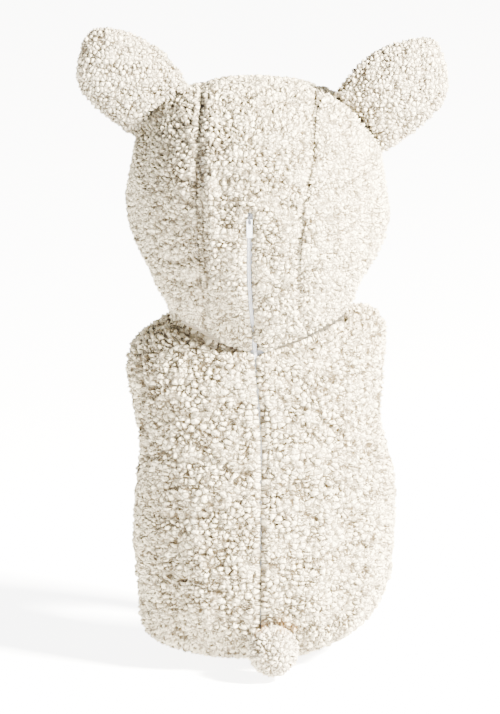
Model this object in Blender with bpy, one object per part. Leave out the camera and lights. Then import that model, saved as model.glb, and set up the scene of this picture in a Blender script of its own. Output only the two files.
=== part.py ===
"""A toddler's lamb costume in sherpa fleece: a round hood with two stuffed ears, a sleeveless
body with a rounded seat, armholes and leg openings, a long centre-back zip and a ball tail.

Metres. +Z is up, the garment's front faces -Y, so the wearer's left is +X. The origin is the
centre of the neck, where the garment hangs on its wearer. Every panel is a hollow wall: its
outer face lies on the garment's form and its inner face one cloth thickness further in.
"""

import bmesh
import bpy
import numpy as np
from mathutils import Matrix

MM = 0.001

# Cloth
CLOTH = 7 * MM  # sherpa fleece, knitted backing and pile together
SEAM_GAP = 0.4 * MM  # between two pieces that are sewn together

# Body: one rounded form, wider than deep, flat over the shoulders and round under the seat
BODY_CENTRE = np.array([0.0, 8 * MM, -165 * MM])
SHOULDER_RISE = 160 * MM  # from the body's centre to the top of the shoulders
SEAT_DROP = 167 * MM  # from the body's centre to the underside of the seat
PLAN_POWER = 2.5  # how square the body is in plan
SHOULDER_POWER = 5.0  # how square it is towards the shoulders
SEAT_POWER = 4.0  # and towards the seat
BODY_SECTIONS = {  # mm: height, half-widths and half-depths before the top and bottom round in
    "z": (-335, -290, -240, -190, -140, -100, -50, 0),
    "left": (138, 123, 121, 119, 120, 122, 132, 128),
    "right": (110, 119, 124, 126, 126, 119, 125, 132),
    "back": (100, 102, 99, 94, 90, 88, 86, 84),
    "front": (90, 92, 94, 92, 88, 84, 78, 74),
}

# Openings in the body
NECK_HALF_WIDTH = 78 * MM
NECK_BACK_DEPTH = 74 * MM
NECK_FRONT_DEPTH = 60 * MM
ARMHOLE_CENTRE = np.array([122 * MM, 0.0, -104 * MM])
ARMHOLE_HALF_HEIGHT = 65 * MM
ARMHOLE_HALF_WIDTH = 38 * MM
LEG_CENTRE = np.array([60 * MM, -85 * MM, -272 * MM])
LEG_RADIUS = 45 * MM
LEG_TILT = np.radians(53)  # the opening faces forward and down
CROTCH_ANGLE = 135  # degrees round the leg opening, where the crotch seam starts
LEG_SEAM_ANGLE = -60  # and where the side seam ends

# Hood: a ball a little flat on top, which draws in to the neck
HOOD_CENTRE = np.array([0.0, 10 * MM, 103 * MM])
HOOD_HALF_WIDTH = 122 * MM
HOOD_HALF_DEPTH = 125 * MM
HOOD_CROWN = 107 * MM  # from the hood's centre to the crown
HOOD_DROP = 130 * MM  # from the hood's centre down, where the ball would close
CROWN_POWER = 2.5
HOOD_TURN = np.radians(3.2)  # the hood is turned a little about its height,
HOOD_TILT = np.radians(1.8)  # its left ear is a little higher,
HOOD_SHIFT = np.array([4 * MM, 0.0, 0.0])  # and it leans over the left shoulder;
LEAN_START_Z = -130 * MM  # all this grows from nothing below the armholes' middle
LEAN_HEIGHT = 210 * MM  # over this height
GUSSET_HALF_WIDTH = {  # mm: half the centre panel's width, from the nape over the crown
    "share": (0.0, 0.2, 0.45, 0.7, 1.0),
    "half": (45, 52, 60, 58, 52),
}
FACE_FORWARD = 97 * MM  # from the hood's centre to the plane of the face opening
FACE_HALF_WIDTH = 79 * MM
FACE_HALF_HEIGHT = 80 * MM
CHIN_HALF_GAP = 24 * MM  # between the hood's front corners, on the neckline

# Zip
ZIP_HALF_GAP = 3.4 * MM  # between the middle of the zip and the cloth's edge
SLIT_TOP_ANGLE = 96.5  # degrees round the hood from straight down, where its slit ends
ZIP_END_Z = -306 * MM  # its lower end, under the tail
TAPE_WIDTH = 12 * MM
TAPE_THICK = 1 * MM
COIL_HALF_WIDTH = 1.8 * MM
COIL_THICK = 2 * MM

# Ears and tail
EAR_LENGTH = 102 * MM
EAR_HALF_WIDTH = 40.5 * MM
EAR_HALF_THICK = 11 * MM
TAIL_RADIUS = 25 * MM
TAIL_CENTRE = np.array([-11 * MM, 110 * MM, -308 * MM])

# The largest soft swells and hollows of the cloth
BODY_SWELLS = {  # mm: place, reach and height
    "x": (-105, 88, 101, 118, -120, 52, -52, 0, 60, -62, 0, 104, -116, -70),
    "y": (8, 0, 6, 34, 30, 96, 98, 104, -84, -84, -90, 30, 30, 40),
    "z": (-10, -6, -13, -150, -112, -262, -268, -318, -120, -126, -190, -308, -272, -322),
    "reach": (25, 34, 26, 34, 30, 44, 44, 26, 40, 40, 46, 30, 34, 30),
    "height": (21, -10, -18, -4, -4, 4, 5, -5, 3, 3, -4, 9, 6, -5),
}
HOOD_SWELLS = {
    "x": (0, 78, -88, 84, -60, -96, -52, 118, -118, 92, -88),
    "y": (96, 62, 36, 40, 100, 10, 78, 10, 10, 20, 20),
    "z": (6, 22, 24, 58, 60, 60, 4, 128, 112, 30, 12),
    "reach": (42, 26, 34, 22, 40, 34, 28, 34, 34, 26, 14),
    "height": (8, 6, 9, -3, 3, 8, 6, 4, 4, -4, -6),
}

X_AXIS = np.array([1.0, 0.0, 0.0])


def unit(vectors):
    return vectors / np.linalg.norm(vectors, axis=-1, keepdims=True)


def ease(t):
    """0 to 1 with level ends."""
    t = np.clip(t, 0.0, 1.0)
    return t * t * (3 - 2 * t)


def read_table(table, key, column, at):
    """A smooth curve through a table's column, with slopes taken from the neighbouring rows."""
    x = np.array(table[key], float)
    y = np.array(table[column], float)
    slope = np.gradient(y, x)
    at = np.clip(at, x[0], x[-1])
    row = np.clip(np.searchsorted(x, at) - 1, 0, len(x) - 2)
    step = x[row + 1] - x[row]
    t = (at - x[row]) / step
    rise = y[row + 1] - y[row]
    curve = (slope[row] + slope[row + 1]) * step - 2 * rise
    bend = rise - slope[row] * step - curve
    return y[row] + t * (slope[row] * step + t * (bend + t * curve))


# ---------------------------------------------------------------- forms


def swelling(table, centre, p):
    """How far a table's swells move a form out at p, as a share of its distance from the centre."""
    total = np.zeros(p.shape[:-1])
    for x, y, z, reach, height in zip(*table.values()):
        away = np.linalg.norm(p - np.array([x, y, z]) * MM, axis=-1) / (reach * MM)
        total += height * MM * np.exp(-away * away)
    return total / np.maximum(np.linalg.norm(p - centre, axis=-1), 40 * MM)


def body_level(p):
    """1 on the body's form, less inside it."""
    z_mm = p[..., 2] / MM
    x = p[..., 0] - BODY_CENTRE[0]
    y = p[..., 1] - BODY_CENTRE[1]
    z = p[..., 2] - BODY_CENTRE[2]
    left = read_table(BODY_SECTIONS, "z", "left", z_mm)
    right = read_table(BODY_SECTIONS, "z", "right", z_mm)
    back = read_table(BODY_SECTIONS, "z", "back", z_mm)
    front = read_table(BODY_SECTIONS, "z", "front", z_mm)
    across = np.abs(x) / (np.where(x > 0, left, right) * MM)
    along = np.abs(y) / (np.where(y > 0, back, front) * MM)
    plan = (across**PLAN_POWER + along**PLAN_POWER) ** (1 / PLAN_POWER)
    power = np.where(z > 0, SHOULDER_POWER, SEAT_POWER)
    height = np.abs(z) / np.where(z > 0, SHOULDER_RISE, SEAT_DROP)
    level = (plan**power + height**power) ** (1 / power)
    return level / (1 + swelling(BODY_SWELLS, BODY_CENTRE, p))


def hood_level(p):
    """1 on the hood's form: the ball, joined softly to the neck below it."""
    x, y, z = np.moveaxis(p - HOOD_CENTRE, -1, 0)
    plan = np.sqrt((x / HOOD_HALF_WIDTH) ** 2 + (y / HOOD_HALF_DEPTH) ** 2)
    power = np.where(z > 0, CROWN_POWER, 2.0)
    height = np.abs(z) / np.where(z > 0, HOOD_CROWN, HOOD_DROP)
    ball = (plan**power + height**power) ** (1 / power)
    neck_y = p[..., 1] - BODY_CENTRE[1]
    neck_y = neck_y / np.where(neck_y > 0, NECK_BACK_DEPTH, NECK_FRONT_DEPTH)
    neck_plan = (p[..., 0] / NECK_HALF_WIDTH) ** 2 + neck_y**2
    neck = (neck_plan**2 + (p[..., 2] / (2 * NECK_HALF_WIDTH)) ** 4) ** 0.25
    level = (np.maximum(ball, 0.1) ** -12 + np.maximum(neck, 0.1) ** -12) ** (-1 / 12)
    return level / (1 + swelling(HOOD_SWELLS, HOOD_CENTRE, p))


def onto(level, centre, p):
    """Moves points straight away from the centre until they lie on a form."""
    away = unit(p - centre)
    near = np.zeros(away.shape[:-1])
    far = np.full(away.shape[:-1], 0.4)
    for _ in range(45):
        middle = (near + far) / 2
        outside = level(centre + away * middle[..., None]) > 1
        far = np.where(outside, middle, far)
        near = np.where(outside, near, middle)
    return centre + away * near[..., None]


def onto_body(p):
    return onto(body_level, BODY_CENTRE, p)


def onto_hood(p):
    return onto(hood_level, HOOD_CENTRE, p)


def normals(level, p):
    """Unit normals of a form, pointing out."""
    step = 0.1 * MM
    slope = np.empty_like(p)
    for axis in range(3):
        shift = np.zeros(3)
        shift[axis] = step
        slope[..., axis] = level(p + shift) - level(p - shift)
    return unit(slope)


# ---------------------------------------------------------------- grids and walls


def line(start, end, count):
    """Points from start to end, both included."""
    share = np.linspace(0, 1, count)[:, None]
    return np.asarray(start) * (1 - share) + np.asarray(end) * share


def patch(first, last, left, right, share):
    """A grid inside four curves: first and last are its end rows, left and right its sides, and
    share (rows, columns) is each point's place between the sides, from 0 to 1."""
    rows = len(left)
    v = np.linspace(0, 1, rows)[:, None, None]
    u = share[..., None]

    def row_at(curve, places):
        own = np.linspace(0, 1, len(curve))
        return np.stack([np.interp(places, own, curve[:, k]) for k in range(3)], axis=-1)

    between_sides = left[:, None] * (1 - u) + right[:, None] * u
    between_ends = row_at(first, share) * (1 - v) + row_at(last, share) * v
    corners = (1 - u) * (1 - v) * left[0] + u * (1 - v) * right[0]
    corners = corners + (1 - u) * v * left[-1] + u * v * right[-1]
    return between_sides + between_ends - corners


def columns(left, right, near_left, near_right, count):
    """Places across each row: given distances from either side, and even steps between them."""
    length = np.linalg.norm(right - left, axis=-1)[:, None]
    start = np.array(near_left)[None, :] / length
    end = 1 - np.array(near_right)[None, ::-1] / length
    between = np.linspace(0, 1, count + 2)[None, 1:-1]
    middle = start[:, -1:] + (end[:, :1] - start[:, -1:]) * between
    return np.concatenate([start, middle, end], axis=1)


def material(name, colour, roughness, metallic):
    made = bpy.data.materials.new(name)
    made.use_nodes = True
    shader = made.node_tree.nodes["Principled BSDF"]
    shader.inputs["Base Color"].default_value = (*colour, 1.0)
    shader.inputs["Roughness"].default_value = roughness
    shader.inputs["Metallic"].default_value = metallic
    return made


def add_object(name, points, faces, finish):
    """A closed mesh as an object, with its faces pointing out."""
    mesh = bpy.data.meshes.new(name)
    mesh.from_pydata([tuple(p) for p in points], [], faces)
    mesh.validate()
    shape = bmesh.new()
    shape.from_mesh(mesh)
    bmesh.ops.triangulate(shape, faces=shape.faces)
    if shape.calc_volume(signed=True) < 0:
        bmesh.ops.reverse_faces(shape, faces=shape.faces)
    shape.to_mesh(mesh)
    shape.free()
    mesh.shade_smooth()
    mesh.set_sharp_from_angle(angle=np.radians(50))
    obj = bpy.data.objects.new(name, mesh)
    obj.data.materials.append(finish)
    bpy.context.collection.objects.link(obj)
    return obj


def solid_between(name, outer, inner, finish, keep=None):
    """The solid between two grids of the same size, closed all round its edge. keep (rows - 1,
    columns - 1) says which cells are there."""
    rows, cols = outer.shape[:2]
    if keep is None:
        keep = np.ones((rows - 1, cols - 1), bool)
    place = np.arange(rows * cols).reshape(rows, cols)
    faces = []
    edges = {}
    for i, j in np.argwhere(keep):
        loop = [place[i, j], place[i, j + 1], place[i + 1, j + 1], place[i + 1, j]]
        faces.append([int(v) for v in loop])
        faces.append([int(v) + rows * cols for v in reversed(loop)])
        for a, b in zip(loop, loop[1:] + loop[:1]):
            edges[(a, b)] = True
    for a, b in edges:
        if (b, a) not in edges:
            faces.append([int(b), int(a), int(a) + rows * cols, int(b) + rows * cols])
    used = np.unique([v for face in faces for v in face])
    renumber = {int(v): n for n, v in enumerate(used)}
    points = np.concatenate([outer.reshape(-1, 3), inner.reshape(-1, 3)])[used]
    faces = [[renumber[v] for v in face] for face in faces]
    return add_object(name, points, faces, finish)


def part_seams(grid, sides):
    """Draws a grid's named sides in by half a seam gap."""
    grid = grid.copy()
    inward = {
        "first": (np.s_[0], np.s_[1]),
        "last": (np.s_[-1], np.s_[-2]),
        "left": (np.s_[:, 0], np.s_[:, 1]),
        "right": (np.s_[:, -1], np.s_[:, -2]),
    }
    for side in sides:
        edge, inside = inward[side]
        grid[edge] = grid[edge] + unit(grid[inside] - grid[edge]) * SEAM_GAP / 2
    return grid


def leaning(p):
    """The hood's turn, tilt and lean, growing from nothing below the neck."""
    turn = np.array(Matrix.Rotation(-HOOD_TURN, 3, "Z") @ Matrix.Rotation(-HOOD_TILT, 3, "Y"))
    leant = (p - HOOD_CENTRE) @ turn.T + HOOD_CENTRE + HOOD_SHIFT
    share = ease((p[..., 2:] - LEAN_START_Z) / LEAN_HEIGHT)
    return p + (leant - p) * share


def wall(name, level, grid, drop, finish, keep=None):
    """A panel: the outer face lies on the grid, lowered by drop, and the inner face one cloth
    thickness in."""
    out = normals(level, grid)
    outer = leaning(grid - out * drop[..., None])
    inner = leaning(grid - out * CLOTH)
    return solid_between(name, outer, inner, finish, keep)


# ---------------------------------------------------------------- seams of the body


def neckline(angles):
    """Where the hood's form meets the body's, by degrees from the centre back to the left."""
    turn = np.radians(np.asarray(angles, float))
    depth = np.where(np.cos(turn) > 0, NECK_BACK_DEPTH, NECK_FRONT_DEPTH)
    x = NECK_HALF_WIDTH * np.sin(turn)
    y = BODY_CENTRE[1] + depth * np.cos(turn)
    p = np.stack([x, y, np.full(x.shape, -10 * MM)], axis=-1)
    for _ in range(12):
        p = onto_hood(onto_body(p))
    return p


def leg_edge(side, start, end, steps):
    """The leg opening, from its inner back (135 degrees) round under and outside (0)."""
    turn = np.radians(np.linspace(start, end, steps + 1))
    along = np.array([0.0, np.cos(LEG_TILT), -np.sin(LEG_TILT)])
    p = LEG_CENTRE + LEG_RADIUS * (np.cos(turn)[:, None] * X_AXIS + np.sin(turn)[:, None] * along)
    return onto_body(p * [side, 1, 1])


def armhole_edge(side, behind, steps):
    """The armhole's back edge (behind 1) or front edge (-1), from the underarm up."""
    turn = np.radians(np.linspace(-90, 90, steps + 1))
    p = np.zeros((steps + 1, 3)) + ARMHOLE_CENTRE
    p[:, 1] += behind * ARMHOLE_HALF_WIDTH * np.cos(turn)
    p[:, 2] += ARMHOLE_HALF_HEIGHT * np.sin(turn)
    return onto_body(p * [side, 1, 1])


SIDE_STEPS = 5
ARMHOLE_STEPS = 11
SHOULDER_STEPS = 4


def outer_edge(side, behind, leg_steps):
    """A body panel's outer edge, from the crotch to the neck."""
    to_seam = LEG_SEAM_ANGLE if behind > 0 else LEG_SEAM_ANGLE + 360
    leg = leg_edge(side, CROTCH_ANGLE, to_seam, leg_steps)
    armhole = armhole_edge(side, behind, ARMHOLE_STEPS)
    seam = onto_body(line(leg[-1], armhole[0], SIDE_STEPS + 1))
    neck = neckline([90 * side])[0]
    shoulder = onto_body(line(armhole[-1], neck, SHOULDER_STEPS + 1))
    shoulder[-1] = neck
    return np.concatenate([leg, seam[1:], armhole[1:], shoulder[1:]])


def centre_line(side, angles, leg_steps, half_gap):
    """A body panel's centre edge: angles is the place round the body, in degrees back from
    straight down, at the crotch, leg end, underarm, shoulder tip and neck."""
    steps = (leg_steps, SIDE_STEPS, ARMHOLE_STEPS, SHOULDER_STEPS)
    turns = [np.array([angles[0]])]
    for start, end, count in zip(angles, angles[1:], steps):
        turns.append(np.linspace(start, end, count + 1)[1:])
    turn = np.radians(np.concatenate(turns))
    away = np.stack([0 * turn, np.sin(turn), -np.cos(turn)], axis=-1)
    middle = onto_body(BODY_CENTRE + away * 50 * MM)
    return onto_body(middle + side * half_gap(middle[:, 2])[:, None] * X_AXIS)


def neck_angle(p):
    """The place round the body of a point on its centre line."""
    return np.degrees(np.arctan2(p[1] - BODY_CENTRE[1], BODY_CENTRE[2] - p[2]))


def edge_drop(places, edges):
    """How far the outer face sinks at each column, from {column: mm}."""
    drop = np.zeros(places)
    for column, depth in edges.items():
        drop[column] = depth * MM
    return drop


HEM_DROP = {-1: 3.0, -2: 0.6, -4: 2.4}  # a rounded edge, and the hollow beside the turned hem
SEAM_DROP = {-1: 2.2, -2: 0.6}


def outer_drops(leg_steps, places, along_centre):
    """The outer face's drop over a body panel: hems at the leg and armhole, seams elsewhere."""
    hem = edge_drop(places, HEM_DROP)
    seam = edge_drop(places, SEAM_DROP)
    rows = [hem] * (leg_steps + 1) + [seam] * (SIDE_STEPS - 1)
    rows += [hem] * (ARMHOLE_STEPS + 1) + [seam] * SHOULDER_STEPS
    drop = np.array(rows) + along_centre
    drop[0] += 1.5 * MM
    drop[-1] += 2.0 * MM
    return drop


NEAR_OUTER_EDGE = (0.0, 3 * MM, 7.5 * MM, 11 * MM)
NEAR_ZIP = (0.0, 2 * MM, 6 * MM)
BACK_ANGLES = (-27, 70, 88, 142)
FRONT_ANGLES = (-27, -82, -95, -138)
BACK_LEG_STEPS = 11
FRONT_LEG_STEPS = 9


def zip_opening(z):
    """Half the opening between the back edges at a height: the zip's, then the seam's."""
    return ZIP_HALF_GAP * ease((z - ZIP_END_Z) / (10 * MM))


def back_half(name, side, finish):
    """A half of the back, from the neck down round the seat to the crotch."""
    top = neckline([0])[0]
    gap_turn = np.degrees(ZIP_HALF_GAP / NECK_HALF_WIDTH)
    neck = neckline(side * np.linspace(gap_turn, 90, 14))
    outer = outer_edge(side, 1, BACK_LEG_STEPS)
    centre = centre_line(side, (*BACK_ANGLES, neck_angle(top)), BACK_LEG_STEPS, zip_opening)
    centre[-1] = neck[0]
    crotch = onto_body(line(centre[0], outer[0], 9))
    share = columns(centre, outer, NEAR_ZIP, NEAR_OUTER_EDGE, 6)
    grid = onto_body(patch(crotch, neck, centre, outer, share))
    has_zip = (zip_opening(centre[:, 2]) / ZIP_HALF_GAP)[:, None]
    places = share.shape[1]
    at_zip = edge_drop(places, {0: 3.0, 1: 1.2})
    at_seam = edge_drop(places, {0: 2.2, 1: 0.8})
    drop = outer_drops(BACK_LEG_STEPS, places, at_zip * has_zip + at_seam * (1 - has_zip))
    grid = part_seams(grid, ("first", "last", "left", "right"))
    return wall(name, body_level, grid, drop, finish)


def front(name, finish):
    """The whole front, from the neckline down between the legs to the crotch."""
    top = neckline([180])[0]
    angles = (*FRONT_ANGLES, neck_angle(top))
    halves = {}
    for side in (1, -1):
        outer = outer_edge(side, -1, FRONT_LEG_STEPS)
        centre = centre_line(side, angles, FRONT_LEG_STEPS, np.zeros_like)
        centre[-1] = top
        neck = neckline(side * np.linspace(180, 90, 14))
        crotch = onto_body(line(centre[0], outer[0], 9))
        share = columns(centre, outer, (0.0,), NEAR_OUTER_EDGE, 6)
        halves[side] = onto_body(patch(crotch, neck, centre, outer, share))
        drop = outer_drops(FRONT_LEG_STEPS, share.shape[1], 0.0)
    grid = np.concatenate([halves[-1][:, ::-1], halves[1][:, 1:]], axis=1)
    drop = np.concatenate([drop[:, ::-1], drop[:, 1:]], axis=1)
    grid = part_seams(grid, ("first", "last", "left", "right"))
    return wall(name, body_level, grid, drop, finish)


# ---------------------------------------------------------------- hood

NAPE_STEPS = 8  # along the hood's slit
CROWN_STEPS = 21  # from the slit's top to the forehead
RING_STEPS = 13  # of a side panel's outer edge, along the neck, and the rest up the face
GUSSET_NECK_TURN = 33  # degrees round the neckline, where the hood's seams start
SIDE_NECK_TURN = 72  # where a side panel's neck edge turns its corner
FACE_SEAM_TURN = 41  # degrees round the face opening from its top, where the seams end
FACE_SIDE_TURN = 74


def face_edge(side, turns, chin):
    """The face opening, by degrees from its top; its lower end runs in to the chin."""
    turn = np.radians(np.asarray(turns, float))
    x = side * FACE_HALF_WIDTH * np.sin(turn)
    z = FACE_HALF_HEIGHT * np.cos(turn)
    p = HOOD_CENTRE + np.stack([x, np.full(x.shape, -FACE_FORWARD), z], axis=-1)
    share = ease((np.degrees(turn) - 105) / 75)[:, None]
    return onto_hood(p * (1 - share) + chin * share)


def hood_turns():
    """Places round the hood's centre line, in degrees from straight down over the back."""
    nape = neckline([0])[0] - HOOD_CENTRE
    start = np.degrees(np.arctan2(nape[1], -nape[2]))
    forehead = onto_hood(HOOD_CENTRE + [0, -FACE_FORWARD, FACE_HALF_HEIGHT]) - HOOD_CENTRE
    end = 360 + np.degrees(np.arctan2(forehead[1], -forehead[2]))
    slit = np.linspace(start, SLIT_TOP_ANGLE, NAPE_STEPS + 1)
    return np.concatenate([slit, np.linspace(SLIT_TOP_ANGLE, end, CROWN_STEPS + 1)[1:]])


def hood_middle(turns):
    turn = np.radians(turns)
    away = np.stack([0 * turn, np.sin(turn), -np.cos(turn)], axis=-1)
    return onto_hood(HOOD_CENTRE + away * 50 * MM)


def hood_seam(side):
    """The seam between the centre panel and a side panel, from the nape to the forehead."""
    turns = hood_turns()
    share = np.linspace(0, 1, len(turns))
    half = read_table(GUSSET_HALF_WIDTH, "share", "half", share) * MM
    seam = onto_hood(hood_middle(turns) + side * half[:, None] * X_AXIS)
    nape = neckline([side * GUSSET_NECK_TURN])[0]
    forehead = face_edge(side, [FACE_SEAM_TURN], seam[-1])[0]
    low = np.clip(1 - share / 0.2, 0, 1)[:, None] ** 2
    high = np.clip(1 - (1 - share) / 0.2, 0, 1)[:, None] ** 2
    seam = onto_hood(seam + (nape - seam[0]) * low + (forehead - seam[-1]) * high)
    seam[0], seam[-1] = nape, forehead
    return seam


def hood_centre(name, finish):
    """The strip from the forehead over the crown to the nape, with the zip's slit in it."""
    right, left = hood_seam(-1), hood_seam(1)
    turns = hood_turns()
    middle = hood_middle(turns)
    halves = {}
    for side, seam in ((-1, right), (1, left)):
        edge = onto_hood(middle + side * ZIP_HALF_GAP * X_AXIS)
        gap_turn = np.degrees(ZIP_HALF_GAP / NECK_HALF_WIDTH)
        neck = neckline(side * np.linspace(gap_turn, GUSSET_NECK_TURN, 8))
        edge[0] = neck[0]
        face_turn = np.degrees(np.arcsin(ZIP_HALF_GAP / FACE_HALF_WIDTH))
        face = face_edge(side, np.linspace(face_turn, FACE_SEAM_TURN, 8), seam[-1])
        edge[-1] = face[0]
        share = columns(edge, seam, NEAR_ZIP, (0.0, 3 * MM), 2)
        halves[side] = onto_hood(patch(neck, face, edge, seam, share))
    grid = np.concatenate([halves[-1][:, ::-1], halves[1]], axis=1)
    rows, places = grid.shape[:2]
    half = places // 2
    drop = np.zeros((rows, places))
    drop += edge_drop(places, {0: 2.6, 1: 0.7, -1: 2.6, -2: 0.7})
    drop[:NAPE_STEPS] += edge_drop(places, {half - 1: 3.0, half: 3.0, half - 2: 1.2, half + 1: 1.2})
    drop[0] += 2.0 * MM
    drop[-1] += 2.5 * MM
    keep = np.ones((rows - 1, places - 1), bool)
    keep[:NAPE_STEPS, half - 1] = False
    grid = part_seams(grid, ("first", "left", "right"))
    return wall(name, hood_level, grid, drop, finish, keep)


def hood_side(name, side, finish):
    """A side panel, between the centre panel, the neckline and the face opening."""
    seam = hood_seam(side)
    chin_turn = 180 - np.degrees(np.arcsin(CHIN_HALF_GAP / NECK_HALF_WIDTH))
    neck = neckline(side * np.linspace(GUSSET_NECK_TURN, SIDE_NECK_TURN, 9))
    ring = neckline(side * np.linspace(SIDE_NECK_TURN, chin_turn, RING_STEPS + 1))
    face_steps = len(seam) - 1 - RING_STEPS
    up_face = np.linspace(180, FACE_SIDE_TURN, face_steps + 1)[1:]
    rim = face_edge(side, up_face, ring[-1])
    brow = face_edge(side, np.linspace(FACE_SEAM_TURN, FACE_SIDE_TURN, 9), ring[-1])
    outer = np.concatenate([ring, rim])
    share = columns(seam, outer, (0.0, 3 * MM), (0.0, 3 * MM, 8 * MM), 7)
    grid = onto_hood(patch(neck, brow, seam, outer, share))
    places = share.shape[1]
    drop = np.zeros(share.shape) + edge_drop(places, {0: 2.6, 1: 0.7, -1: 2.4, -2: 0.6})
    drop[0] += 2.0 * MM
    drop[-1] += 2.4 * MM
    grid = part_seams(grid, ("first", "left", "right"))
    return wall(name, hood_level, grid, drop, finish)


# ---------------------------------------------------------------- ears and tail

EAR_SHAPE = {  # share of the ear's length, then of its greatest half-width and half-thickness
    "share": (0.0, 0.15, 0.35, 0.55, 0.75, 0.88, 0.96, 1.0),
    "width": (0.86, 0.94, 1.0, 1.0, 0.98, 0.90, 0.72, 0.46),
    "thick": (0.55, 0.78, 0.95, 1.0, 0.9, 0.72, 0.5, 0.3),
}
EARS = {  # mm from the hood's centre to the middle of the base, and degrees above level
    "side": (1, -1),
    "out": (82, 88),
    "up": (71, 71),
    "rise": (42, 45),
}
EAR_ROWS = 9
EAR_PLACES = 9
EAR_RIM = 0.8 * MM  # half the thickness of the sewn rim
EAR_TIP_ROUND = 3 * MM  # by which the tip's corners fall back


def ear_half(name, side, out, up, rise, facing, finish):
    """The back (facing 1) or front (-1) half of an ear: stuffed, with a flat face at the seam."""
    turn = np.radians(rise)
    along = np.array([side * np.cos(turn), 0.0, np.sin(turn)])
    across = np.array([-side * np.sin(turn), 0.0, np.cos(turn)])
    through = np.array([0.0, float(facing), 0.0])
    base = HOOD_CENTRE + np.array([side * out, 0.0, up]) * MM
    share = 1 - (1 - np.linspace(0, 1, EAR_ROWS)) ** 1.5
    width = read_table(EAR_SHAPE, "share", "width", share) * EAR_HALF_WIDTH
    thick = read_table(EAR_SHAPE, "share", "thick", share) * EAR_HALF_THICK
    place = np.sin(np.linspace(-np.pi / 2, np.pi / 2, EAR_PLACES))
    bulge = (1 - np.abs(place) ** 2.4) ** 0.75
    spread = width[:, None] * place
    faces = []
    for depth in (EAR_RIM + thick[:, None] * bulge, SEAM_GAP / 2 + 0 * thick[:, None] * bulge):
        foot = base + spread[0][:, None] * across + depth[0][:, None] * through
        reach = reach_of_hood(foot, along) + SEAM_GAP
        run = reach[None] * (1 - share[:, None]) + EAR_LENGTH * share[:, None]
        run = run - EAR_TIP_ROUND * (place**2)[None] * share[:, None] ** 6
        point = base + run[..., None] * along + spread[..., None] * across
        faces.append(leaning(point + depth[..., None] * through))
    return solid_between(name, faces[0], faces[1], finish)


def reach_of_hood(start, along):
    """How far along a direction the hood's form lies from each point."""
    near = np.full(start.shape[0], -60 * MM)
    far = np.full(start.shape[0], 60 * MM)
    for _ in range(40):
        middle = (near + far) / 2
        outside = hood_level(start + middle[:, None] * along) > 1
        far = np.where(outside, middle, far)
        near = np.where(outside, near, middle)
    return near


def tail(name, finish):
    """A stuffed ball, pressed against the seat where it is sewn on."""
    shape = bmesh.new()
    bmesh.ops.create_uvsphere(shape, u_segments=18, v_segments=12, radius=TAIL_RADIUS)
    points = np.array([v.co for v in shape.verts]) + TAIL_CENTRE
    seat = onto_body(points)
    seat = seat + normals(body_level, seat) * SEAM_GAP
    inside = body_level(points) > body_level(seat)
    points = np.where(inside[:, None], points, seat)
    faces = [[v.index for v in face.verts] for face in shape.faces]
    shape.free()
    return add_object(name, points, faces, finish)


# ---------------------------------------------------------------- zip

SLIDER_LENGTH = 9 * MM
SLIDER_WIDTH = 5.6 * MM
SLIDER_THICK = 3.2 * MM
SLIDER_BELOW_TOP = 8 * MM  # from the slit's top down to the slider's middle
BRIDGE_LENGTH = 6 * MM
BRIDGE_WIDTH = 1.6 * MM
BRIDGE_HEIGHT = 3 * MM
BRIDGE_BAR = 0.9 * MM
PULL_LENGTH = 17 * MM
PULL_WIDTH = 5.2 * MM
PULL_THICK = 1.2 * MM
PULL_ARM = 1.2 * MM  # width of the two arms beside the bridge
PULL_EYE = 4.4 * MM  # from the hinge line to the solid plate
STOP_SIZE = 1.6 * MM
LAID_GAP = 0.5 * MM  # between layers of the zip
ZIP_END_TUCK = 1 * MM  # by which its lower end is pressed in under the tail


def zip_line(offsets):
    """Rows down the zip, at these offsets to the left of its middle, as points and the ways out
    of the cloth: over the hood from the slit's top, with a row just under the slider, then over
    the back to the zip's end."""
    hood_turn = hood_turns()[NAPE_STEPS::-1]
    below_slider = SLIDER_BELOW_TOP + SLIDER_LENGTH / 2 + LAID_GAP
    below_slider = SLIT_TOP_ANGLE - np.degrees(below_slider / HOOD_HALF_DEPTH)
    hood_turn = np.insert(hood_turn, 1, below_slider)
    hood = hood_middle(hood_turn)
    hood[-1] = neckline([0])[0]
    top = neck_angle(neckline([0])[0])
    back = centre_line(1, (*BACK_ANGLES, top), BACK_LEG_STEPS, np.zeros_like)[::-1]
    back[0] = neckline([0])[0]
    back = back[back[:, 2] > ZIP_END_Z + 3 * MM]
    rows = []
    for onto_form, level, middle in ((onto_hood, hood_level, hood), (onto_body, body_level, back)):
        points = onto_form(middle[:, None] + np.array(offsets)[:, None] * X_AXIS)
        rows.append((points, normals(level, points)))
    points = np.concatenate([rows[0][0], rows[1][0]])
    out = np.concatenate([rows[0][1], rows[1][1]])
    points[-1] -= out[-1] * ZIP_END_TUCK
    return points, out


def zip_strip(name, offsets, low, high, finish, rows=np.s_[:]):
    """A strip along the zip, between two heights over the cloth's inner face."""
    points, out = zip_line(offsets)
    points, out = points[rows], out[rows]
    lower = leaning(points + out * (low - CLOTH))
    upper = leaning(points + out * (high - CLOTH))
    return solid_between(name, upper, lower, finish)


def box(shape, low, high):
    """Adds a box to a mesh, between two corners."""
    low, high = np.array(low), np.array(high)
    made = bmesh.ops.create_cube(shape, size=1.0)["verts"]
    for corner in made:
        corner.co = (low + high) / 2 + np.array(corner.co) * (high - low)


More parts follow.
